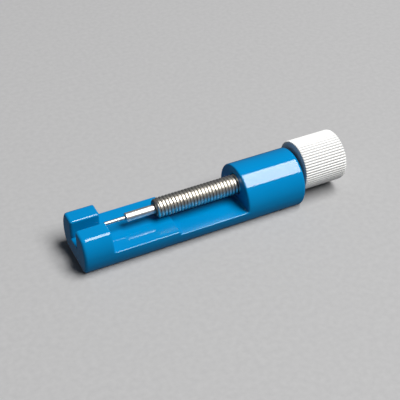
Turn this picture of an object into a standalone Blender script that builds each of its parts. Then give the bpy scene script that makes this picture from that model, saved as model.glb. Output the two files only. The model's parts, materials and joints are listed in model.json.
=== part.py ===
"""Screw-driven pin pusher for watch bracelet links.

A one-piece moulded body has a slotted anvil at its front, an open channel with a
stepped floor in the middle and a barrel at its rear. A threaded screw runs through
the barrel. Its front end holds a turned nose with a thin push pin, which faces the
anvil's slot, and its rear end holds a ribbed knob.

Row frame: +X runs along the tool from anvil to knob, +Z is up, and the origin lies
on the centre plane, on the flat underside, below the barrel's front face.
"""
import math

import bmesh
import bpy
from mathutils import Vector

MM = 0.001

# Body section: a round bar with a flat underside
HALF_WIDTH = 6.15 * MM
CROWN_CENTRE_Z = 3.95 * MM
BOTTOM_EDGE_RADIUS = 0.8 * MM
CROWN_STEPS = 38
BOTTOM_EDGE_STEPS = 4
BODY_EDGE_BEVEL = 0.25 * MM
BARREL_BORE_STEPS = 32

# Stations along the tool
ANVIL_FRONT_X = -34.4 * MM
ANVIL_REAR_X = -28.4 * MM
FLOOR_STEP_X = -14.7 * MM
BARREL_FRONT_X = 0.0
BARREL_REAR_X = 13.05 * MM

# Levels
AXIS_Z = 6.35 * MM
ANVIL_TOP_Z = 8.05 * MM
UPPER_FLOOR_Z = 4.06 * MM
LOWER_FLOOR_Z = 3.28 * MM

SLOT_HALF_WIDTH = 1.27 * MM

# Clearance left around every piece that is held in another
GAP = 0.3 * MM

# Screw: metric coarse thread, 4 mm across and 0.7 mm pitch
THREAD_RADIUS = 2.0 * MM
THREAD_PITCH = 0.7 * MM
THREAD_ROOT_RADIUS = 1.6 * MM
THREAD_CREST_WIDTH = 0.14 * MM
THREAD_STEPS = 12
SPARE_TURNS = 3
START_TURNS = 1.5
SCREW_FRONT_X = -17.7 * MM
SCREW_END_CHAMFER = 0.3 * MM
SHANK_START_X = 13.3 * MM
SHANK_END_X = 20.0 * MM

# Nose and push pin
NOSE_RADIUS = 0.9 * MM
NOSE_FRONT_X = -23.8 * MM
NOSE_CHAMFER = 0.2 * MM
NOSE_SPIGOT_LENGTH = 3.0 * MM
NOSE_STEPS = 24
PIN_RADIUS = 0.375 * MM
PIN_TIP_X = -28.1 * MM
PIN_TIP_CHAMFER = 0.1 * MM
PIN_HELD_LENGTH = 2.5 * MM
PIN_STEPS = 16
SMALL_BORE_STEPS = 16

# Knob
KNOB_RADIUS = 5.3 * MM
KNOB_FRONT_X = 13.6 * MM
KNOB_REAR_X = 23.35 * MM
KNOB_FRONT_CHAMFER = 0.35 * MM
KNOB_REAR_ROUND = 0.55 * MM
KNOB_REAR_ROUND_STEPS = 4
KNOB_RIBS = 56
KNOB_RIB_DEPTH = 0.28 * MM
SHANK_BORE_STEPS = 24

MERGE_DISTANCE = 0.001 * MM
BIG = 20 * MM


def clear_scene():
    """Remove every object, so that the script starts from an empty scene."""
    for obj in list(bpy.data.objects):
        bpy.data.objects.remove(obj, do_unlink=True)


def new_collection(name):
    collection = bpy.data.collections.new(name)
    bpy.context.scene.collection.children.link(collection)
    return collection


def make_material(name, color, roughness, metallic):
    material = bpy.data.materials.new(name)
    material.use_nodes = True
    shader = material.node_tree.nodes["Principled BSDF"]
    shader.inputs["Base Color"].default_value = (*color, 1.0)
    shader.inputs["Roughness"].default_value = roughness
    shader.inputs["Metallic"].default_value = metallic
    material.diffuse_color = (*color, 1.0)
    return material


def add_object(name, mesh, collection):
    obj = bpy.data.objects.new(name, mesh)
    collection.objects.link(obj)
    return obj


def finish_part(obj, material, smooth_angle_deg=35):
    """Give a part its material and smooth shading with sharp edges."""
    obj.data.materials.clear()
    obj.data.materials.append(material)
    obj.data.shade_smooth()
    obj.data.set_sharp_from_angle(angle=math.radians(smooth_angle_deg))


def bake(obj):
    """Replace an object's mesh with its evaluated one and drop its modifiers."""
    graph = bpy.context.evaluated_depsgraph_get()
    graph.update()
    mesh = bpy.data.meshes.new_from_object(obj.evaluated_get(graph))
    obj.modifiers.clear()
    obj.data = mesh


def make_cutter(obj):
    obj.hide_render = True
    obj.display_type = "WIRE"


def box(name, low, high, collection):
    """A box between two corners, from a primitive cube."""
    mesh = bpy.data.meshes.new(name)
    bm = bmesh.new()
    bmesh.ops.create_cube(bm, size=1.0)
    size = Vector(high) - Vector(low)
    bmesh.ops.scale(bm, vec=size, verts=bm.verts)
    bmesh.ops.translate(bm, vec=(Vector(high) + Vector(low)) / 2, verts=bm.verts)
    bm.to_mesh(mesh)
    bm.free()
    return add_object(name, mesh, collection)


def turned(name, profile, steps, collection):
    """A turned piece along +X at the screw's axis.

    The profile holds (distance along the axis, radius) pairs, from the end that is
    farther along +X to the nearer one, and starts and ends on the axis.
    """
    mesh = bpy.data.meshes.new(name)
    bm = bmesh.new()
    verts = [bm.verts.new((radius, 0.0, along)) for along, radius in profile]
    for first, second in zip(verts, verts[1:]):
        bm.edges.new((first, second))
    bm.to_mesh(mesh)
    bm.free()
    obj = add_object(name, mesh, collection)
    turn = obj.modifiers.new("turn", "SCREW")
    turn.axis = "Z"
    turn.steps = steps
    turn.render_steps = steps
    turn.use_merge_vertices = True
    turn.merge_threshold = MERGE_DISTANCE
    obj.location = (0.0, 0.0, AXIS_Z)
    obj.rotation_euler = (0.0, math.radians(90), 0.0)
    return obj


def cut(obj, cutter, name):
    modifier = obj.modifiers.new(name, "BOOLEAN")
    modifier.operation = "DIFFERENCE"
    modifier.solver = "EXACT"
    modifier.object = cutter


def bore_cutter(name, radius, start_x, end_x, steps, collection):
    """A plain cylinder along the screw's axis, used to cut a bore."""
    profile = [(end_x, 0.0), (end_x, radius), (start_x, radius), (start_x, 0.0)]
    cutter = turned(name, profile, steps, collection)
    make_cutter(cutter)
    return cutter


def arc(centre, radius, start_deg, end_deg, steps):
    """Points along a circular arc, both ends included."""
    points = []
    for step in range(steps + 1):
        angle = math.radians(start_deg + (end_deg - start_deg) * step / steps)
        points.append((centre[0] + radius * math.cos(angle), centre[1] + radius * math.sin(angle)))
    return points


def body_section():
    """Outline of the bar, as (y, z) points: the round, and a rounded edge on each side of the flat."""
    rise = BOTTOM_EDGE_RADIUS - CROWN_CENTRE_Z
    inner = math.sqrt((HALF_WIDTH - BOTTOM_EDGE_RADIUS) ** 2 - rise ** 2)
    start = math.degrees(math.atan2(rise, inner))
    outline = arc((0.0, CROWN_CENTRE_Z), HALF_WIDTH, start, 180 - start, CROWN_STEPS)
    outline += arc((-inner, BOTTOM_EDGE_RADIUS), BOTTOM_EDGE_RADIUS, 180 - start, 270, BOTTOM_EDGE_STEPS)
    outline += arc((inner, BOTTOM_EDGE_RADIUS), BOTTOM_EDGE_RADIUS, 270, 360 + start, BOTTOM_EDGE_STEPS)
    return outline


def extruded_bar(name, outline, start_x, end_x, collection):
    """A bar with a constant section along +X, from a filled 2D curve."""
    curve = bpy.data.curves.new(name, "CURVE")
    curve.dimensions = "2D"
    curve.fill_mode = "BOTH"
    curve.extrude = (end_x - start_x) / 2
    spline = curve.splines.new("POLY")
    spline.points.add(len(outline) - 1)
    for point, (y, z) in zip(spline.points, outline):
        point.co = (y, z, 0.0, 1.0)
    spline.use_cyclic_u = True
    source = add_object(name + "_curve", curve, collection)
    source.location = ((start_x + end_x) / 2, 0.0, 0.0)
    source.rotation_euler = (math.radians(90), 0.0, math.radians(90))
    graph = bpy.context.evaluated_depsgraph_get()
    graph.update()
    mesh = bpy.data.meshes.new_from_object(source.evaluated_get(graph))
    mesh.name = name
    bm = bmesh.new()
    bm.from_mesh(mesh)
    bmesh.ops.remove_doubles(bm, verts=bm.verts, dist=MERGE_DISTANCE)
    bmesh.ops.dissolve_limit(bm, angle_limit=math.radians(1), verts=bm.verts, edges=bm.edges)
    bmesh.ops.recalc_face_normals(bm, faces=bm.faces)
    bm.to_mesh(mesh)
    bm.free()
    bar = add_object(name, mesh, collection)
    bar.matrix_world = source.matrix_world.copy()
    bpy.data.objects.remove(source, do_unlink=True)
    return bar


def build_frame_body(parts, cutters, material):
    """Moulded body: the bar, cut down to its anvil, channel floors, slot and bore."""
    body = extruded_bar("frame_body", body_section(), ANVIL_FRONT_X, BARREL_REAR_X, parts)
    cut_boxes = {
        "cut_anvil_top": ((ANVIL_FRONT_X - BIG, -BIG, ANVIL_TOP_Z), (ANVIL_REAR_X + GAP, BIG, BIG)),
        "cut_upper_floor": ((ANVIL_REAR_X, -BIG, UPPER_FLOOR_Z), (FLOOR_STEP_X + GAP, BIG, BIG)),
        "cut_lower_floor": ((FLOOR_STEP_X, -BIG, LOWER_FLOOR_Z), (BARREL_FRONT_X, BIG, BIG)),
        "cut_slot": (
            (ANVIL_FRONT_X - BIG, -SLOT_HALF_WIDTH, UPPER_FLOOR_Z),
            (ANVIL_REAR_X + GAP, SLOT_HALF_WIDTH, BIG),
        ),
    }
    for name, (low, high) in cut_boxes.items():
        cutter = box(name, low, high, cutters)
        make_cutter(cutter)
        cut(body, cutter, name)
    bore = bore_cutter(
        "cut_barrel_bore", THREAD_RADIUS + GAP, BARREL_FRONT_X - BIG, BARREL_REAR_X + BIG,
        BARREL_BORE_STEPS, cutters
    )
    cut(body, bore, "cut_barrel_bore")
    edges = body.modifiers.new("soft_edges", "BEVEL")
    edges.width = BODY_EDGE_BEVEL
    edges.segments = 2
    edges.limit_method = "ANGLE"
    edges.angle_limit = math.radians(35)
    edges.use_clamp_overlap = True
    finish_part(body, material)
    return body


def threaded_rod_mesh(name):
    """A rod with a helical thread, chamfered at its front, with a plain shank behind.

    The mesh runs along +Z from the screw's front end, which is at z = 0.
    """
    thread_length = SHANK_START_X - SCREW_FRONT_X
    turns = math.ceil(thread_length / THREAD_PITCH) + SPARE_TURNS
    crest_start = (THREAD_PITCH - THREAD_CREST_WIDTH) / 2
    crest_end = crest_start + THREAD_CREST_WIDTH
    mesh = bpy.data.meshes.new(name + "_profile")
    bm = bmesh.new()
    profile = [
        (THREAD_ROOT_RADIUS, THREAD_PITCH),
        (THREAD_RADIUS, crest_end),
        (THREAD_RADIUS, crest_start),
        (THREAD_ROOT_RADIUS, 0.0),
    ]
    verts = [bm.verts.new((radius, 0.0, along)) for radius, along in profile]
    for first, second in zip(verts, verts[1:]):
        bm.edges.new((first, second))
    bm.to_mesh(mesh)
    bm.free()
    helix = add_object(name + "_helix", mesh, bpy.context.scene.collection)
    sweep = helix.modifiers.new("thread", "SCREW")
    sweep.axis = "Z"
    sweep.screw_offset = THREAD_PITCH
    sweep.iterations = turns
    sweep.steps = THREAD_STEPS
    sweep.render_steps = THREAD_STEPS
    bake(helix)
    bm = bmesh.new()
    bm.from_mesh(helix.data)
    bmesh.ops.remove_doubles(bm, verts=bm.verts, dist=MERGE_DISTANCE)
    bmesh.ops.translate(bm, vec=(0.0, 0.0, -START_TURNS * THREAD_PITCH), verts=bm.verts)
    taper_thread_ends(bm, thread_length)
    trim_and_cap(bm, 0.0, thread_length)
    add_shank(bm, thread_length, SHANK_END_X - SHANK_START_X)
    bmesh.ops.recalc_face_normals(bm, faces=bm.faces)
    rod = bpy.data.meshes.new(name)
    bm.to_mesh(rod)
    bm.free()
    bpy.data.objects.remove(helix, do_unlink=True)
    return rod


def taper_thread_ends(bm, length):
    """Pull the crests in towards the root near both ends, as a 45 degree chamfer."""
    end_radius = THREAD_RADIUS - SCREW_END_CHAMFER
    for vert in bm.verts:
        radius = math.hypot(vert.co.x, vert.co.y)
        from_end = max(0.0, min(vert.co.z, length - vert.co.z))
        limit = end_radius + from_end
        if radius > limit:
            vert.co.x *= limit / radius
            vert.co.y *= limit / radius


def trim_and_cap(bm, low, high):
    """Cut the swept thread square at both ends and close the two openings."""
    for level, direction in ((low, -1.0), (high, 1.0)):
        geometry = bm.verts[:] + bm.edges[:] + bm.faces[:]
        bmesh.ops.bisect_plane(
            bm,
            geom=geometry,
            dist=MERGE_DISTANCE / 10,
            plane_co=(0.0, 0.0, level),
            plane_no=(0.0, 0.0, direction),
            clear_outer=True,
        )
    open_edges = [edge for edge in bm.edges if edge.is_boundary]
    bmesh.ops.holes_fill(bm, edges=open_edges, sides=0)


def add_shank(bm, level, length):
    """Extrude the rear cap into the plain shank that the knob grips."""
    bm.normal_update()
    caps = []
    for face in bm.faces:
        if all(abs(vert.co.z - level) < MERGE_DISTANCE for vert in face.verts):
            caps.append(face)
    result = bmesh.ops.extrude_face_region(bm, geom=caps)
    moved = [item for item in result["geom"] if isinstance(item, bmesh.types.BMVert)]
    bmesh.ops.translate(bm, vec=(0.0, 0.0, length), verts=moved)
    bmesh.ops.delete(bm, geom=caps, context="FACES_ONLY")


def build_drive_screw(parts, cutters, material):
    """Threaded rod, with a blind bore in its front end for the nose."""
    screw = add_object("drive_screw", threaded_rod_mesh("drive_screw"), parts)
    screw.location = (SCREW_FRONT_X, 0.0, AXIS_Z)
    screw.rotation_euler = (0.0, math.radians(90), 0.0)
    bore_end = SCREW_FRONT_X + NOSE_SPIGOT_LENGTH + GAP
    bore = bore_cutter("cut_nose_bore", NOSE_RADIUS + GAP, SCREW_FRONT_X - BIG, bore_end,
                       SMALL_BORE_STEPS, cutters)
    cut(screw, bore, "cut_nose_bore")
    finish_part(screw, material)
    return screw


def build_tip_holder(parts, cutters, material):
    """Turned nose that stands out of the screw's front end and grips the push pin."""
    rear = SCREW_FRONT_X + NOSE_SPIGOT_LENGTH
    profile = [
        (rear, 0.0),
        (rear, NOSE_RADIUS),
        (NOSE_FRONT_X + NOSE_CHAMFER, NOSE_RADIUS),
        (NOSE_FRONT_X, NOSE_RADIUS - NOSE_CHAMFER / 2),
        (NOSE_FRONT_X, 0.0),
    ]
    holder = turned("tip_holder", profile, NOSE_STEPS, parts)
    hole_end = NOSE_FRONT_X + PIN_HELD_LENGTH + GAP
    hole = bore_cutter("cut_pin_hole", PIN_RADIUS + GAP, NOSE_FRONT_X - BIG, hole_end,
                       SMALL_BORE_STEPS, cutters)
    cut(holder, hole, "cut_pin_hole")
    finish_part(holder, material)
    return holder


def build_push_pin(parts, material):
    """Thin hardened pin that drives the bracelet's link pin out."""
    rear = NOSE_FRONT_X + PIN_HELD_LENGTH
    profile = [
        (rear, 0.0),
        (rear, PIN_RADIUS),
        (PIN_TIP_X + PIN_TIP_CHAMFER, PIN_RADIUS),
        (PIN_TIP_X, PIN_RADIUS - PIN_TIP_CHAMFER),
        (PIN_TIP_X, 0.0),
    ]
    pin = turned("push_pin", profile, PIN_STEPS, parts)
    finish_part(pin, material)
    return pin


def knob_profile():
    """Knob outline with a rounded rear rim and a chamfered front edge."""
    rim = arc((KNOB_REAR_X - KNOB_REAR_ROUND, KNOB_RADIUS - KNOB_REAR_ROUND), KNOB_REAR_ROUND,
              0, 90, KNOB_REAR_ROUND_STEPS)
    front_face_radius = KNOB_RADIUS - KNOB_FRONT_CHAMFER
    profile = [(KNOB_REAR_X, 0.0)]
    profile += rim
    profile.append((KNOB_FRONT_X + KNOB_FRONT_CHAMFER, KNOB_RADIUS))
    profile.append((KNOB_FRONT_X, front_face_radius))
    profile.append((KNOB_FRONT_X, 0.0))
    return profile


def press_ribs(mesh):
    """Press straight grooves into the knob's rim, so that ribs stand between them."""
    groove_floor = KNOB_RADIUS - KNOB_RIB_DEPTH
    for vert in mesh.vertices:
        radius = math.hypot(vert.co.x, vert.co.y)
        if radius < groove_floor:
            continue
        angle = math.atan2(vert.co.y, vert.co.x)
        pressed = (1 - math.cos(KNOB_RIBS * angle)) / 2
        new_radius = radius - (radius - groove_floor) * pressed
        vert.co.x *= new_radius / radius
        vert.co.y *= new_radius / radius


def build_knob(parts, cutters, material):
    """Ribbed knob with a blind bore for the screw's shank."""
    knob = turned("knob", knob_profile(), 2 * KNOB_RIBS, parts)
    bake(knob)
    press_ribs(knob.data)
    shank_radius = THREAD_RADIUS - SCREW_END_CHAMFER
    bore = bore_cutter("cut_shank_bore", shank_radius + GAP, KNOB_FRONT_X - BIG,
                       SHANK_END_X + GAP, SHANK_BORE_STEPS, cutters)
    cut(knob, bore, "cut_shank_bore")
    finish_part(knob, material, smooth_angle_deg=25)
    return knob


def main():
    clear_scene()
    parts = new_collection("bracelet_pin_pusher")
    cutters = new_collection("cutters")
    blue = make_material("blue_plastic", (0.0, 0.23, 0.62), 0.22, 0.0)
    nickel = make_material("nickel_plate", (0.66, 0.63, 0.59), 0.25, 1.0)
    turned_steel = make_material("turned_steel", (0.62, 0.62, 0.62), 0.22, 1.0)
    pin_steel = make_material("pin_steel", (0.55, 0.55, 0.56), 0.28, 1.0)
    white = make_material("white_plastic", (0.83, 0.84, 0.84), 0.4, 0.0)
    build_frame_body(parts, cutters, blue)
    build_drive_screw(parts, cutters, nickel)
    build_tip_holder(parts, cutters, turned_steel)
    build_push_pin(parts, pin_steel)
    build_knob(parts, cutters, white)


main()
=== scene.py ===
"""Looks of the screw-driven bracelet pin pusher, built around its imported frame.

Row frame, in metres: +X runs along the tool from the slotted anvil to the knob, +Z is
up, and the origin lies on the centre plane, on the underside, below the barrel's
front face. Five visible pieces stand for the five CAD nodes and ride on their bodies.
"""
import json
import math

import bmesh
import bpy
from mathutils import Matrix, Vector


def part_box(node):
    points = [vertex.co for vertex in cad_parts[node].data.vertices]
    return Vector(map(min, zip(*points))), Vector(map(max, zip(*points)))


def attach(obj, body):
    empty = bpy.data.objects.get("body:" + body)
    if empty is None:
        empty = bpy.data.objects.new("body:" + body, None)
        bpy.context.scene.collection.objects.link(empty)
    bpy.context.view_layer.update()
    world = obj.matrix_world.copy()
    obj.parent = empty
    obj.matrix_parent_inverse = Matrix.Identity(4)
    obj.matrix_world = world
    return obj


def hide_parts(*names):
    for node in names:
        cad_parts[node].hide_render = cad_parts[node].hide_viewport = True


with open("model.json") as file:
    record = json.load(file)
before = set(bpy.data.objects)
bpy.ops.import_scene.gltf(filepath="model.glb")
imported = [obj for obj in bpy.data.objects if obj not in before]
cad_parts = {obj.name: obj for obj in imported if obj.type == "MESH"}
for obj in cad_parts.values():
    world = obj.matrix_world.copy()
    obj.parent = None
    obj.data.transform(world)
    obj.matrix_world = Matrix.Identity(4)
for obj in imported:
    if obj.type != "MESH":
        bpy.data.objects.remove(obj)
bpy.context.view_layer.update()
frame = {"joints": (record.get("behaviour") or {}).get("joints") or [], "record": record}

MM = 0.001

# ---------------------------------------------------------------- places from the frame
BODY_LOW, BODY_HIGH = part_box("frame_body")
SCREW_LOW, SCREW_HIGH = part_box("drive_screw")
NOSE_LOW, NOSE_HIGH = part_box("tip_holder")
PIN_LOW, PIN_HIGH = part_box("push_pin")
KNOB_LOW, KNOB_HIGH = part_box("knob")
HINGE = next(joint for joint in frame["joints"] if joint["name"] == "knob_turn")
COUPLING = frame["record"]["behaviour"]["couplings"][0]
MOUNTS = {mount["name"]: mount for mount in frame["record"]["mounts"]}

AXIS_Z = HINGE["pos_m"][2]
PITCH = 2 * math.pi / COUPLING["ratio"]
HALF_WIDTH = BODY_HIGH.y
CROWN_CENTRE_Z = BODY_HIGH.z - HALF_WIDTH
ANVIL_FRONT_X = BODY_LOW.x
ANVIL_REAR_X = MOUNTS["anvil_face"]["pos_m"][0]
BARREL_FRONT_X = 0.0
BARREL_REAR_X = BODY_HIGH.x
THREAD_RADIUS = SCREW_HIGH.y
NOSE_RADIUS = NOSE_HIGH.y
PIN_RADIUS = PIN_HIGH.y
KNOB_RADIUS = KNOB_HIGH.y

# ---------------------------------------------------------------- moulded body
FLOOR_STEP_X = -14.7 * MM
ANVIL_TOP_Z = 8.05 * MM
UPPER_FLOOR_Z = 4.06 * MM
LOWER_FLOOR_Z = 3.28 * MM
SLOT_HALF_WIDTH = 1.27 * MM
BOTTOM_EDGE_RADIUS = 0.8 * MM
EDGE_ROUND = 0.35 * MM
FRONT_RIM_ROUND = 0.60 * MM
SHOULDER_ROUND = 0.44 * MM
FLOOR_EDGE_ROUND = 0.20 * MM
EDGE_ROUND_SEGMENTS = 5
SHARP_EDGE_DEG = 30
FLAT_EDGE_DEG = 1
ALONG_AN_AXIS = 0.9
CROWN_STEP_DEG = 5.2
STATION_STEP = 1.5 * MM
ROOM_FOR_ROUND = 1.6
BOTTOM_EDGE_STEPS = 8
BORE_RADIUS = THREAD_RADIUS + 0.07 * MM
BORE_STEPS = 96
CUT_OVERLAP = 0.3 * MM
CUT_REACH = 20 * MM
SMALLEST_SHARE_LEFT = 0.4

# ---------------------------------------------------------------- screw, nose and pin
THREAD_ROOT_RADIUS = 1.58 * MM
THREAD_STEPS = 48
SPARE_TURNS = 3
CREST_SHARE = 0.24
ROOT_SHARE = 0.10
SHANK_START_X = 13.3 * MM
SHANK_RADIUS = 1.7 * MM
SCREW_END_CHAMFER = 0.42 * MM
NOSE_FRONT_ROUND = 0.18 * MM
NOSE_DEPTH_IN_SCREW = 0.5 * MM
RECESS_MARGIN = 0.14 * MM
RECESS_DEPTH = 0.12 * MM
RECESS_TAPER = 0.10 * MM
PIN_TIP_ROUND = 0.12 * MM
PIN_DEPTH_IN_NOSE = 1.0 * MM
TURNED_STEPS = 96
END_ROUND_STEPS = 6

# ---------------------------------------------------------------- knob
KNOB_RIBS = 56
RIB_DEPTH = 0.32 * MM
STEPS_PER_RIB = 14
GROOVE_SHARPNESS = 1.6
GROOVE_FADE = 1.6
KNOB_FRONT_ROUND = 0.15 * MM
KNOB_REAR_ROUND = 0.55 * MM
KNOB_SIDE_STEPS = 8
REAR_ROUND_STEPS = 12
FRONT_ROUND_STEPS = 4
# (depth below the end face, share of the rim's inner radius)
REAR_DISH = ((0.15 * MM, 0.0), (0.15 * MM, 0.55), (0.10 * MM, 0.70), (0.0, 0.80))
# (depth below the end face, share of the knob's radius)
FRONT_RECESS = ((0.0, 0.62), (0.2 * MM, 0.58), (0.2 * MM, 0.0))

# ---------------------------------------------------------------- stage and camera
FLOOR_HALF_SIZE = 1.5
FLOOR_GAP = 0.02 * MM
SOFTBOX_DISTANCE = 2.0
CAMERA_TARGET = (-8.34 * MM, -1.14 * MM, 6.0 * MM)
CAMERA_PITCH_DEG = 38.61
CAMERA_YAW_DEG = 26.46
CAMERA_DISTANCE = 178.6 * MM
SENSOR_WIDTH_MM = 36.0
FOCAL_LENGTH_MM = 81.8
CLIP_START = 1 * MM

# ---------------------------------------------------------------- tolerances
MERGE_DISTANCE = 0.0005 * MM
LEVEL_TOLERANCE = 0.01 * MM


# ================================================================ mesh helpers
def new_object(name, data):
    obj = bpy.data.objects.new(name, data)
    bpy.context.scene.collection.objects.link(obj)
    return obj


def mesh_object(name, bm):
    """A new object with the shape of a bmesh, which is freed."""
    mesh = bpy.data.meshes.new(name)
    bm.to_mesh(mesh)
    bm.free()
    return new_object(name, mesh)


def polyline(name, points):
    """An object with one vertex at each point and an edge from each to the next."""
    bm = bmesh.new()
    verts = [bm.verts.new(point) for point in points]
    for first, second in zip(verts, verts[1:]):
        bm.edges.new((first, second))
    return mesh_object(name, bm)


def bake(obj):
    """Replace an object's mesh with its evaluated one and drop its modifiers."""
    graph = bpy.context.evaluated_depsgraph_get()
    graph.update()
    mesh = bpy.data.meshes.new_from_object(obj.evaluated_get(graph))
    obj.modifiers.clear()
    obj.data = mesh


def place_at_world(obj):
    """Put an object's transform into its mesh, so that its origin is the row frame's."""
    bpy.context.view_layer.update()
    obj.data.transform(obj.matrix_world)
    obj.location = (0.0, 0.0, 0.0)
    obj.rotation_euler = (0.0, 0.0, 0.0)


def smooth(obj, angle_deg=40):
    """Shade smoothly, except across edges that are sharper than an angle."""
    obj.data.shade_smooth()
    obj.data.set_sharp_from_angle(angle=math.radians(angle_deg))


def arc(centre, radius, start_deg, end_deg, steps):
    """Points along a circular arc, both ends included."""
    points = []
    for step in range(steps + 1):
        angle = math.radians(start_deg + (end_deg - start_deg) * step / steps)
        points.append((centre[0] + radius * math.cos(angle), centre[1] + radius * math.sin(angle)))
    return points


def box(name, low, high):
    bm = bmesh.new()
    bmesh.ops.create_cube(bm, size=1.0)
    bmesh.ops.scale(bm, vec=Vector(high) - Vector(low), verts=bm.verts)
    bmesh.ops.translate(bm, vec=(Vector(high) + Vector(low)) / 2, verts=bm.verts)
    return mesh_object(name, bm)


def turned(name, profile, steps):
    """A turned piece along +X at the screw's axis, from (x, radius) pairs.

    The profile runs from the rear end to the front end and starts and ends on the axis.
    """
    obj = polyline(name, [(radius, 0.0, x) for x, radius in profile])
    turn = obj.modifiers.new("turn", "SCREW")
    turn.axis = "Z"
    turn.steps = steps
    turn.render_steps = steps
    turn.use_merge_vertices = True
    turn.merge_threshold = MERGE_DISTANCE
    obj.location = (0.0, 0.0, AXIS_Z)
    obj.rotation_euler = (0.0, math.radians(90), 0.0)
    return obj


def remove(*objects):
    for obj in objects:
        bpy.data.objects.remove(obj, do_unlink=True)


# ================================================================ node helpers
class Nodes:
    """A small layer over a material's node tree, so that each material reads as a recipe."""

    def __init__(self, name):
        self.material = bpy.data.materials.new(name)
        self.material.use_nodes = True
        self.tree = self.material.node_tree
        self.shader = self.tree.nodes["Principled BSDF"]
        self.position = self.add("ShaderNodeTexCoord").outputs["Object"]

    def add(self, kind, **settings):
        node = self.tree.nodes.new(kind)
        for key, value in settings.items():
            setattr(node, key, value)
        return node

    def put(self, socket, value):
        if isinstance(value, bpy.types.NodeSocket):
            self.tree.links.new(value, socket)
        elif isinstance(value, tuple) and len(value) == 3 and len(socket.default_value) == 4:
            socket.default_value = (*value, 1.0)
        else:
            socket.default_value = value

    def set(self, **inputs):
        """Set the shader's inputs; an underscore in a name stands for a space."""
        for name, value in inputs.items():
            self.put(self.shader.inputs[name.replace("_", " ")], value)

    def math(self, operation, first, second=0.0):
        node = self.add("ShaderNodeMath", operation=operation)
        self.put(node.inputs[0], first)
        self.put(node.inputs[1], second)
        return node.outputs[0]

    def plus(self, first, second):
        return self.math("ADD", first, second)

    def times(self, first, second):
        return self.math("MULTIPLY", first, second)

    def scaled(self, scale):
        """Object position with each axis scaled, in cycles per metre."""
        node = self.add("ShaderNodeMapping")
        self.put(node.inputs["Vector"], self.position)
        node.inputs["Scale"].default_value = scale
        return node.outputs["Vector"]

    def noise(self, scale, detail=3.0, roughness=0.5, distortion=0.0):
        node = self.add("ShaderNodeTexNoise")
        self.put(node.inputs["Vector"], self.scaled(scale))
        node.inputs["Scale"].default_value = 1.0
        node.inputs["Detail"].default_value = detail
        node.inputs["Roughness"].default_value = roughness
        node.inputs["Distortion"].default_value = distortion
        return node.outputs[0]

    def span(self, value, low, high, to_low=0.0, to_high=1.0):
        """Map a value from one range to another, clamped at both ends."""
        node = self.add("ShaderNodeMapRange")
        for name, number in (("Value", value), ("From Min", low), ("From Max", high),
                             ("To Min", to_low), ("To Max", to_high)):
            self.put(node.inputs[name], number)
        return node.outputs[0]

    def mix(self, share, first, second):
        node = self.add("ShaderNodeMix", data_type="RGBA")
        self.put(node.inputs["Factor"], share)
        self.put(node.inputs[6], first)
        self.put(node.inputs[7], second)
        return node.outputs[2]

    def bump(self, height, distance, normal=None):
        """Fine relief of a given depth, on top of an earlier bump where there is one."""
        node = self.add("ShaderNodeBump")
        node.inputs["Distance"].default_value = distance
        self.put(node.inputs["Height"], height)
        if normal is not None:
            self.put(node.inputs["Normal"], normal)
        return node.outputs[0]

    def radius(self):
        """Distance from the screw's axis."""
        split = self.add("ShaderNodeSeparateXYZ")
        self.put(split.inputs[0], self.position)
        height = self.math("SUBTRACT", split.outputs["Z"], AXIS_Z)
        squares = self.plus(self.times(split.outputs["Y"], split.outputs["Y"]), self.times(height, height))
        return self.math("SQRT", squares)

    def edge(self, low, high):
        """1 on worn convex edges, 0 on flat areas."""
        return self.span(self.add("ShaderNodeNewGeometry").outputs["Pointiness"], low, high)


# ================================================================ materials
def blue_plastic():
    """Glossy injection-moulded plastic with faint flow marks, handling smears and hairlines."""
    m = Nodes("blue_plastic")
    flow = m.noise((90, 160, 160), detail=4, distortion=0.6)
    colour = m.mix(m.span(flow, 0.3, 0.7), (0.0, 0.172, 0.414), (0.0, 0.190, 0.442))
    worn = m.times(m.edge(0.53, 0.60), m.span(m.noise((700, 700, 700)), 0.4, 0.65))
    colour = m.mix(m.times(worn, 0.35), colour, (0.02, 0.26, 0.52))
    smear = m.span(m.noise((160, 420, 420), detail=5, distortion=1.2), 0.42, 0.72, 0.055, 0.115)
    hairline = m.span(m.noise((250, 14000, 14000), detail=2), 0.66, 0.74)
    roughness = m.plus(smear, m.times(hairline, 0.06))
    roughness = m.plus(roughness, m.times(worn, 0.12))
    peel = m.noise((900, 900, 900), detail=2)
    normal = m.bump(hairline, 0.0006 * MM, normal=m.bump(peel, 0.0025 * MM))
    m.set(Base_Color=colour, Roughness=roughness, Normal=normal,
          IOR=1.5, Specular_IOR_Level=0.375, Specular_Tint=(1.0, 0.965, 0.80))
    return m.material


def nickel_plate():
    """Bright plating with a warm tint, dulled in the thread's root and darkened there by painted shade and
    grime.
    """
    m = Nodes("nickel_plate")
    height = m.span(m.radius(), THREAD_ROOT_RADIUS, THREAD_RADIUS)
    mottle = m.noise((1500, 1500, 1500), detail=4)
    clean = m.mix(m.span(mottle, 0.3, 0.7), (0.93, 0.90, 0.84), (0.86, 0.825, 0.765))
    # painted shade and grime: the colour darkens and dulls towards the thread's root
    recess_shade_and_grime = m.span(m.plus(height, m.times(mottle, 0.5)), 0.30, 0.80, 1.0, 0.0)
    colour = m.mix(m.times(recess_shade_and_grime, 0.9), clean, (0.06, 0.056, 0.05))
    roughness = m.plus(m.span(mottle, 0.3, 0.7, 0.33, 0.39), m.times(recess_shade_and_grime, 0.15))
    rolled = m.noise((4000, 600, 600), detail=3)
    m.set(Base_Color=colour, Metallic=1.0, Roughness=roughness, Normal=m.bump(rolled, 0.001 * MM))
    return m.material


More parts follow.
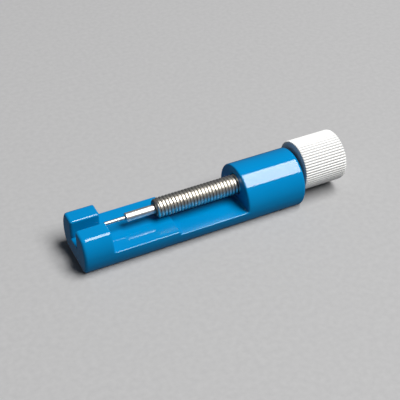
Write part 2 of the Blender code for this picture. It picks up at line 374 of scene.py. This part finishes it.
def turned_steel(name, bright, dark, groove_depth):
    """Steel turned on a lathe: fine rings round the axis, and some tarnish."""
    m = Nodes(name)
    rings = m.noise((26000, 60, 60), detail=3, roughness=0.7)
    tarnish = m.noise((500, 900, 900), detail=5, distortion=0.8)
    colour = m.mix(m.span(tarnish, 0.35, 0.75), bright, dark)
    roughness = m.plus(m.span(tarnish, 0.3, 0.7, 0.38, 0.46), m.span(rings, 0.3, 0.7, 0.0, 0.05))
    m.set(Base_Color=colour, Metallic=1.0, Roughness=roughness, Normal=m.bump(rings, groove_depth))
    return m.material


def white_plastic():
    """Satin moulded plastic, with painted shade and a trace of grime in the grooves between the ribs."""
    m = Nodes("white_plastic")
    depth = m.span(m.radius(), KNOB_RADIUS - RIB_DEPTH, KNOB_RADIUS - 0.3 * RIB_DEPTH, 1.0, 0.0)
    outside = m.span(m.radius(), KNOB_RADIUS - 1.2 * RIB_DEPTH, KNOB_RADIUS - 1.05 * RIB_DEPTH)
    patches = m.span(m.noise((220, 220, 220), detail=4), 0.3, 0.7, 0.4, 1.0)
    # painted shade and grime: darker deep in the grooves between the ribs, in patches
    recess_shade_and_grime = m.times(m.times(depth, outside), patches)
    tone = m.span(m.noise((130, 130, 130), detail=3), 0.3, 0.7)
    colour = m.mix(tone, (0.71, 0.715, 0.715), (0.665, 0.675, 0.675))
    colour = m.mix(m.times(recess_shade_and_grime, 0.8), colour, (0.37, 0.38, 0.38))
    roughness = m.span(m.noise((600, 600, 600), detail=4), 0.3, 0.7, 0.34, 0.46)
    grain = m.noise((5200, 5200, 5200), detail=2)
    m.set(Base_Color=colour, Roughness=roughness, IOR=1.49, Normal=m.bump(grain, 0.006 * MM),
          Subsurface_Weight=0.12, Subsurface_Radius=(1.0, 0.9, 0.8), Subsurface_Scale=0.5 * MM)
    return m.material


def floor_material():
    """A pale floor that returns about a third less light to the tool than the camera sees."""
    m = Nodes("pale_floor")
    tone = m.span(m.noise((900, 900, 900), detail=5), 0.3, 0.7)
    pale = m.mix(tone, (0.31, 0.312, 0.32), (0.335, 0.337, 0.345))
    seen = m.add("ShaderNodeLightPath").outputs["Is Camera Ray"]
    m.set(Base_Color=m.mix(seen, (0.20, 0.20, 0.20), pale), Roughness=0.75)
    return m.material


# ================================================================ pieces
def crown_angle(z):
    """Angle at which the crown passes through a level, in degrees above +Y."""
    return math.degrees(math.asin((z - CROWN_CENTRE_Z) / HALF_WIDTH))


def body_section():
    """Outline of the bar, as (y, z) points: a round bar with a flat underside.

    The round has a point at each level where the body is cut, and its other points
    stand farther apart than the edge rounding is wide, so that the bevel has room.
    """
    fillet = BOTTOM_EDGE_RADIUS
    rise = fillet - CROWN_CENTRE_Z
    inner = math.sqrt((HALF_WIDTH - fillet) ** 2 - rise ** 2)
    lowest = math.degrees(math.atan2(rise, inner))
    levels = (LOWER_FLOOR_Z, UPPER_FLOOR_Z, ANVIL_TOP_Z)
    stops = [lowest] + [crown_angle(z) for z in levels]
    stops += [180 - angle for angle in reversed(stops)]
    outline = []
    for start, end in zip(stops, stops[1:]):
        steps = round((end - start) / CROWN_STEP_DEG)
        outline += arc((0.0, CROWN_CENTRE_Z), HALF_WIDTH, start, end, steps)[:-1]
    outline = [(y, next((level for level in levels if abs(z - level) < MERGE_DISTANCE), z))
               for y, z in outline]
    outline += arc((-inner, fillet), fillet, 180 - lowest, 270, BOTTOM_EDGE_STEPS)
    outline += arc((inner, fillet), fillet, 270, 360 + lowest, BOTTOM_EDGE_STEPS)[:-1]
    return outline


def body_stations():
    """Stations along the bar: close together at both sides of every cross cut."""
    margin = ROOM_FOR_ROUND * EDGE_ROUND
    fixed = [ANVIL_FRONT_X, ANVIL_FRONT_X + ROOM_FOR_ROUND * FRONT_RIM_ROUND]
    for cut in (ANVIL_REAR_X, FLOOR_STEP_X, BARREL_FRONT_X):
        fixed += [cut - margin, cut + margin]
    fixed += [BARREL_REAR_X - margin, BARREL_REAR_X]
    stations = []
    for start, end in zip(fixed, fixed[1:]):
        steps = max(1, round((end - start) / STATION_STEP))
        stations += [start + (end - start) * step / steps for step in range(steps)]
    return stations + [BARREL_REAR_X]


def lofted_bar(name, outline, stations):
    """A closed bar with a constant section along +X and a ring of points at each station."""
    bm = bmesh.new()
    rings = [[bm.verts.new((x, y, z)) for y, z in outline] for x in stations]
    for first, second in zip(rings, rings[1:]):
        for index in range(len(outline)):
            bm.faces.new((first[index - 1], first[index], second[index], second[index - 1]))
    bm.faces.new(rings[0])
    bm.faces.new(rings[-1])
    bmesh.ops.recalc_face_normals(bm, faces=bm.faces)
    return mesh_object(name, bm)


def edge_round(middle, direction):
    """Width of the rounding of one sharp edge of the body, from its middle and direction."""
    def near(value, level):
        return abs(value - level) < LEVEL_TOLERANCE

    along_x = abs(direction.x) > ALONG_AN_AXIS
    if near(middle.x, ANVIL_FRONT_X):
        return FLOOR_EDGE_ROUND if near(middle.z, UPPER_FLOOR_Z) else FRONT_RIM_ROUND
    if along_x and near(middle.z, ANVIL_TOP_Z):
        return SHOULDER_ROUND
    if along_x and (near(middle.z, UPPER_FLOOR_Z) or near(middle.z, LOWER_FLOOR_Z)):
        return FLOOR_EDGE_ROUND
    return EDGE_ROUND


def merge_floor_faces(bm):
    """Join the faces of each floor, so that no flat edge runs into a rounded corner."""
    def inside_floor(edge):
        flat = len(edge.link_faces) == 2 and edge.calc_face_angle(0.0) < math.radians(FLAT_EDGE_DEG)
        upward = all(face.normal.z > ALONG_AN_AXIS for face in edge.link_faces)
        level = any(all(abs(vert.co.z - floor) < MERGE_DISTANCE for vert in edge.verts)
                    for floor in (UPPER_FLOOR_Z, LOWER_FLOOR_Z))
        return flat and upward and level

    flat_edges = [edge for edge in bm.edges if inside_floor(edge)]
    bmesh.ops.dissolve_edges(bm, edges=flat_edges, use_verts=True)


def weigh_edges(mesh):
    """Give each sharp edge the share of the widest rounding that it gets."""
    bm = bmesh.new()
    bm.from_mesh(mesh)
    bmesh.ops.remove_doubles(bm, verts=bm.verts, dist=MERGE_DISTANCE)
    bmesh.ops.dissolve_degenerate(bm, dist=MERGE_DISTANCE, edges=bm.edges)
    merge_floor_faces(bm)
    weights = bm.edges.layers.float.new("bevel_weight_edge")
    for edge in bm.edges:
        if edge.calc_face_angle(0.0) > math.radians(SHARP_EDGE_DEG):
            first, second = (vert.co for vert in edge.verts)
            direction = (second - first).normalized()
            edge[weights] = edge_round((first + second) / 2, direction) / FRONT_RIM_ROUND
    bm.to_mesh(mesh)
    bm.free()


def solid_volume(mesh):
    """Volume of a mesh in cubic metres, or 0 where it isn't closed."""
    bm = bmesh.new()
    bm.from_mesh(mesh)
    closed = len(bm.faces) > 0 and all(edge.is_manifold for edge in bm.edges)
    volume = bm.calc_volume(signed=True) if closed else 0.0
    bm.free()
    return volume


def cut_all(body, cutters):
    """Cut every tool's shape out of the body in one Boolean, and insist on a closed solid.

    One Boolean for each tool gives faulty bodies at some sizes, without an error.
    """
    before = solid_volume(body.data)
    tools = bpy.data.collections.new("tools")
    for cutter in cutters:
        tools.objects.link(cutter)
    modifier = body.modifiers.new("cuts", "BOOLEAN")
    modifier.operation = "DIFFERENCE"
    modifier.solver = "EXACT"
    modifier.operand_type = "COLLECTION"
    modifier.collection = tools
    bake(body)
    bpy.data.collections.remove(tools)
    if not SMALLEST_SHARE_LEFT * before < solid_volume(body.data) < before:
        raise RuntimeError("the cuts do not leave the moulded body as a closed solid")


def upward_cutter(name, front, rear, floor, half_width=CUT_REACH):
    """A tool that clears all above a floor, between two stations along the bar."""
    return box(name, (front, -half_width, floor), (rear, half_width, CUT_REACH))


def bore_cutter():
    front, rear = BARREL_FRONT_X - CUT_REACH, BARREL_REAR_X + CUT_REACH
    profile = [(rear, 0.0), (rear, BORE_RADIUS), (front, BORE_RADIUS), (front, 0.0)]
    return turned("bore", profile, BORE_STEPS)


def build_moulded_body():
    """The one-piece body, with every edge rounded as it comes from the mould."""
    body = lofted_bar("moulded_body", body_section(), body_stations())
    outside_x = ANVIL_FRONT_X - CUT_REACH
    anvil_rear = ANVIL_REAR_X + CUT_OVERLAP
    cutters = [
        upward_cutter("anvil_top", outside_x, anvil_rear, ANVIL_TOP_Z),
        upward_cutter("upper_floor", ANVIL_REAR_X, FLOOR_STEP_X + CUT_OVERLAP, UPPER_FLOOR_Z),
        upward_cutter("lower_floor", FLOOR_STEP_X, BARREL_FRONT_X, LOWER_FLOOR_Z),
        upward_cutter("slot", outside_x, anvil_rear, UPPER_FLOOR_Z, SLOT_HALF_WIDTH),
        bore_cutter(),
    ]
    cut_all(body, cutters)
    remove(*cutters)
    weigh_edges(body.data)
    edges = body.modifiers.new("edge_round", "BEVEL")
    edges.width = FRONT_RIM_ROUND
    edges.segments = EDGE_ROUND_SEGMENTS
    edges.limit_method = "WEIGHT"
    edges.use_clamp_overlap = False
    body.data.shade_smooth()
    body.modifiers.new("flat_faces_stay_flat", "WEIGHTED_NORMAL")
    bake(body)
    return body


def thread_profile():
    """One pitch of the thread, as (radius, share of the pitch) pairs, rounded at crest and root."""
    depth = THREAD_RADIUS - THREAD_ROOT_RADIUS
    flank = (1 - CREST_SHARE - ROOT_SHARE) / 2
    flank_start = ROOT_SHARE / 2
    flank_end = flank_start + flank
    rise = [(0.0, 0.0), (0.06, flank_start), (0.90, flank_end - 0.015), (0.985, flank_end + 0.025)]
    fall = [(height, 1 - share) for height, share in reversed(rise)]
    return [(THREAD_ROOT_RADIUS + height * depth, share) for height, share in rise + [(1.0, 0.5)] + fall]


def swept_thread(length):
    """A helical surface that covers z from 0 to length, open at both ends."""
    points = [(radius, 0.0, share * PITCH) for radius, share in reversed(thread_profile())]
    helix = polyline("thread_helix", points)
    sweep = helix.modifiers.new("thread", "SCREW")
    sweep.axis = "Z"
    sweep.screw_offset = PITCH
    sweep.iterations = math.ceil(length / PITCH) + SPARE_TURNS
    sweep.steps = THREAD_STEPS
    sweep.render_steps = THREAD_STEPS
    bake(helix)
    bm = bmesh.new()
    bm.from_mesh(helix.data)
    remove(helix)
    bmesh.ops.remove_doubles(bm, verts=bm.verts, dist=MERGE_DISTANCE)
    bmesh.ops.translate(bm, vec=(0.0, 0.0, -SPARE_TURNS / 2 * PITCH), verts=bm.verts)
    return bm


def chamfer_thread(bm, length):
    """Limit the radius near both ends, so that the thread runs out on a 45 degree chamfer."""
    for vert in bm.verts:
        radius = math.hypot(vert.co.x, vert.co.y)
        from_front = max(0.0, vert.co.z)
        from_rear = max(0.0, length - vert.co.z)
        limit = min(THREAD_RADIUS - SCREW_END_CHAMFER + from_front, SHANK_RADIUS + from_rear)
        if radius > limit:
            vert.co.x *= limit / radius
            vert.co.y *= limit / radius


def trim_and_cap(bm, low, high):
    """Cut a surface off at two levels and close both ends with a flat face."""
    for level, direction in ((low, -1.0), (high, 1.0)):
        bmesh.ops.bisect_plane(
            bm,
            geom=bm.verts[:] + bm.edges[:] + bm.faces[:],
            dist=MERGE_DISTANCE / 10,
            plane_co=(0.0, 0.0, level),
            plane_no=(0.0, 0.0, direction),
            clear_outer=True,
        )
    bmesh.ops.holes_fill(bm, edges=[edge for edge in bm.edges if edge.is_boundary], sides=0)


def build_threaded_screw():
    """The screw, with its thread swept as a true helix that runs out inside the knob."""
    length = SHANK_START_X - SCREW_LOW.x
    bm = swept_thread(length)
    chamfer_thread(bm, length)
    trim_and_cap(bm, 0.0, length)
    bmesh.ops.recalc_face_normals(bm, faces=bm.faces)
    screw = mesh_object("threaded_screw", bm)
    screw.location = (SCREW_LOW.x, 0.0, AXIS_Z)
    screw.rotation_euler = (0.0, math.radians(90), 0.0)
    place_at_world(screw)
    smooth(screw, 50)
    return screw


def front_round(front, radius, size, steps):
    """Profile points of a rounded front edge, from the side round to the front face."""
    return arc((front + size, radius - size), size, 90, 180, steps)


def turned_piece(name, profile):
    """A smooth turned piece, as a finished mesh in the row frame."""
    piece = turned(name, profile, TURNED_STEPS)
    bake(piece)
    place_at_world(piece)
    smooth(piece)
    return piece


def build_turned_nose():
    """Turned nose with a rounded front edge and a small recess round the pin."""
    front = NOSE_LOW.x
    rear = SCREW_LOW.x + NOSE_DEPTH_IN_SCREW
    recess_radius = PIN_RADIUS + RECESS_MARGIN
    recess_floor = front + RECESS_DEPTH
    profile = [(rear, 0.0), (rear, NOSE_RADIUS)]
    profile += front_round(front, NOSE_RADIUS, NOSE_FRONT_ROUND, END_ROUND_STEPS)
    profile += [(front, recess_radius), (recess_floor, recess_radius - RECESS_TAPER), (recess_floor, 0.0)]
    return turned_piece("turned_nose", profile)


def build_hardened_pin():
    """Thin ground pin with a rounded tip."""
    tip = PIN_LOW.x
    rear = NOSE_LOW.x + PIN_DEPTH_IN_NOSE
    profile = [(rear, 0.0), (rear, PIN_RADIUS)]
    profile += front_round(tip, PIN_RADIUS, PIN_TIP_ROUND, END_ROUND_STEPS)
    profile += [(tip, 0.0)]
    return turned_piece("hardened_pin", profile)


def knob_profile():
    """Knob outline from rear to front.

    It has a dished rear face, a rounded rim, a long side, a small front round and a recess.
    """
    rear, front = KNOB_HIGH.x, KNOB_LOW.x
    side_rear, side_front = rear - KNOB_REAR_ROUND, front + KNOB_FRONT_ROUND
    side_step = (side_front - side_rear) / KNOB_SIDE_STEPS
    rim_inner = KNOB_RADIUS - KNOB_REAR_ROUND
    profile = [(rear - depth, share * rim_inner) for depth, share in REAR_DISH]
    profile += arc((side_rear, rim_inner), KNOB_REAR_ROUND, 0, 90, REAR_ROUND_STEPS)
    profile += [(side_rear + side_step * step, KNOB_RADIUS) for step in range(1, KNOB_SIDE_STEPS)]
    profile += front_round(front, KNOB_RADIUS, KNOB_FRONT_ROUND, FRONT_ROUND_STEPS)
    profile += [(front + depth, share * KNOB_RADIUS) for depth, share in FRONT_RECESS]
    return profile


def press_ribs(mesh):
    """Press straight grooves into the rim, which leaves flat-topped ribs between them."""
    fade_start = KNOB_RADIUS - KNOB_REAR_ROUND
    for vert in mesh.vertices:
        radius = math.hypot(vert.co.x, vert.co.y)
        if radius < fade_start:
            continue
        fade = min(1.0, GROOVE_FADE * (radius - fade_start) / (KNOB_RADIUS - fade_start))
        angle = math.atan2(vert.co.y, vert.co.x)
        from_groove = abs(math.sin(KNOB_RIBS * angle / 2))
        pressed = (1 - from_groove) ** GROOVE_SHARPNESS
        new_radius = radius - RIB_DEPTH * pressed * fade
        vert.co.x *= new_radius / radius
        vert.co.y *= new_radius / radius


def build_ribbed_knob():
    """The knob, turned and then ribbed, with a whole number of steps for each rib."""
    knob = turned("ribbed_knob", knob_profile(), STEPS_PER_RIB * KNOB_RIBS)
    bake(knob)
    press_ribs(knob.data)
    place_at_world(knob)
    smooth(knob, 50)
    return knob


def dress(obj, material, node, body):
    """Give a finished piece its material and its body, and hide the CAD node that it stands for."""
    obj.data.materials.append(material)
    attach(obj, body)
    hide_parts(node)


# ================================================================ stage, light and camera
def build_floor():
    """A plain floor just below the tool, which the glossy surfaces don't mirror."""
    bm = bmesh.new()
    bmesh.ops.create_grid(bm, x_segments=1, y_segments=1, size=FLOOR_HALF_SIZE)
    floor = mesh_object("floor", bm)
    floor.location.z = -FLOOR_GAP
    floor.data.materials.append(floor_material())
    floor.visible_glossy = False


def softbox(name, tilt_deg, lean_deg, tilt_span_deg, lean_span_deg, radiance, colour):
    """A rectangular softbox that faces the tool.

    Tilt is its angle from overhead towards -Y, lean its angle towards +X, and the spans
    are the angles that it covers each way, seen from the tool.
    """
    tilt, lean = math.radians(tilt_deg), math.radians(lean_deg)
    level = math.cos(lean)
    toward = Vector((math.sin(lean), -math.sin(tilt) * level, math.cos(tilt) * level))
    across = Vector((0.0, -math.cos(tilt), -math.sin(tilt)))
    along = across.cross(toward)
    light = bpy.data.lights.new(name, "AREA")
    light.shape = "RECTANGLE"
    light.size = 2 * SOFTBOX_DISTANCE * math.tan(math.radians(lean_span_deg / 2))
    light.size_y = 2 * SOFTBOX_DISTANCE * level * math.tan(math.radians(tilt_span_deg / 2))
    light.energy = radiance * math.pi * light.size * light.size_y
    light.color = colour
    axes = Matrix((along, across, toward)).transposed().to_4x4()
    lamp = new_object(name, light)
    lamp.matrix_world = Matrix.Translation(SOFTBOX_DISTANCE * toward) @ axes


def build_lights():
    softbox("key_softbox", tilt_deg=18.0, lean_deg=20.5, tilt_span_deg=50.5, lean_span_deg=23.0,
            radiance=17.3, colour=(1.0, 0.985, 0.96))
    world = bpy.data.worlds.new("studio")
    world.use_nodes = True
    background = world.node_tree.nodes["Background"]
    background.inputs["Color"].default_value = (0.80, 0.88, 1.0, 1.0)
    background.inputs["Strength"].default_value = 0.08
    bpy.context.scene.world = world


def build_camera():
    """Camera above the tool's near side, turned towards the knob's end."""
    pitch, yaw = math.radians(CAMERA_PITCH_DEG), math.radians(CAMERA_YAW_DEG)
    level = math.cos(pitch)
    back = Vector((-math.sin(yaw) * level, -math.cos(yaw) * level, math.sin(pitch)))
    data = bpy.data.cameras.new("camera")
    data.sensor_width = SENSOR_WIDTH_MM
    data.lens = FOCAL_LENGTH_MM
    data.clip_start = CLIP_START
    camera = new_object("camera", data)
    camera.location = Vector(CAMERA_TARGET) + CAMERA_DISTANCE * back
    camera.rotation_euler = (math.radians(90) - pitch, 0.0, -yaw)
    bpy.context.scene.camera = camera


def main():
    """Build the five pieces, the stage, the light and the camera."""
    steel = turned_steel("turned_steel", (0.76, 0.75, 0.745), (0.66, 0.645, 0.64), 0.0003 * MM)
    pin_steel = turned_steel("pin_steel", (0.56, 0.56, 0.54), (0.46, 0.46, 0.45), 0.0002 * MM)
    dress(build_moulded_body(), blue_plastic(), "frame_body", "frame")
    dress(build_threaded_screw(), nickel_plate(), "drive_screw", "drive")
    dress(build_turned_nose(), steel, "tip_holder", "pusher")
    dress(build_hardened_pin(), pin_steel, "push_pin", "pusher")
    dress(build_ribbed_knob(), white_plastic(), "knob", "drive")
    build_floor()
    build_lights()
    build_camera()
    bpy.context.scene.view_settings.view_transform = "Standard"


main()
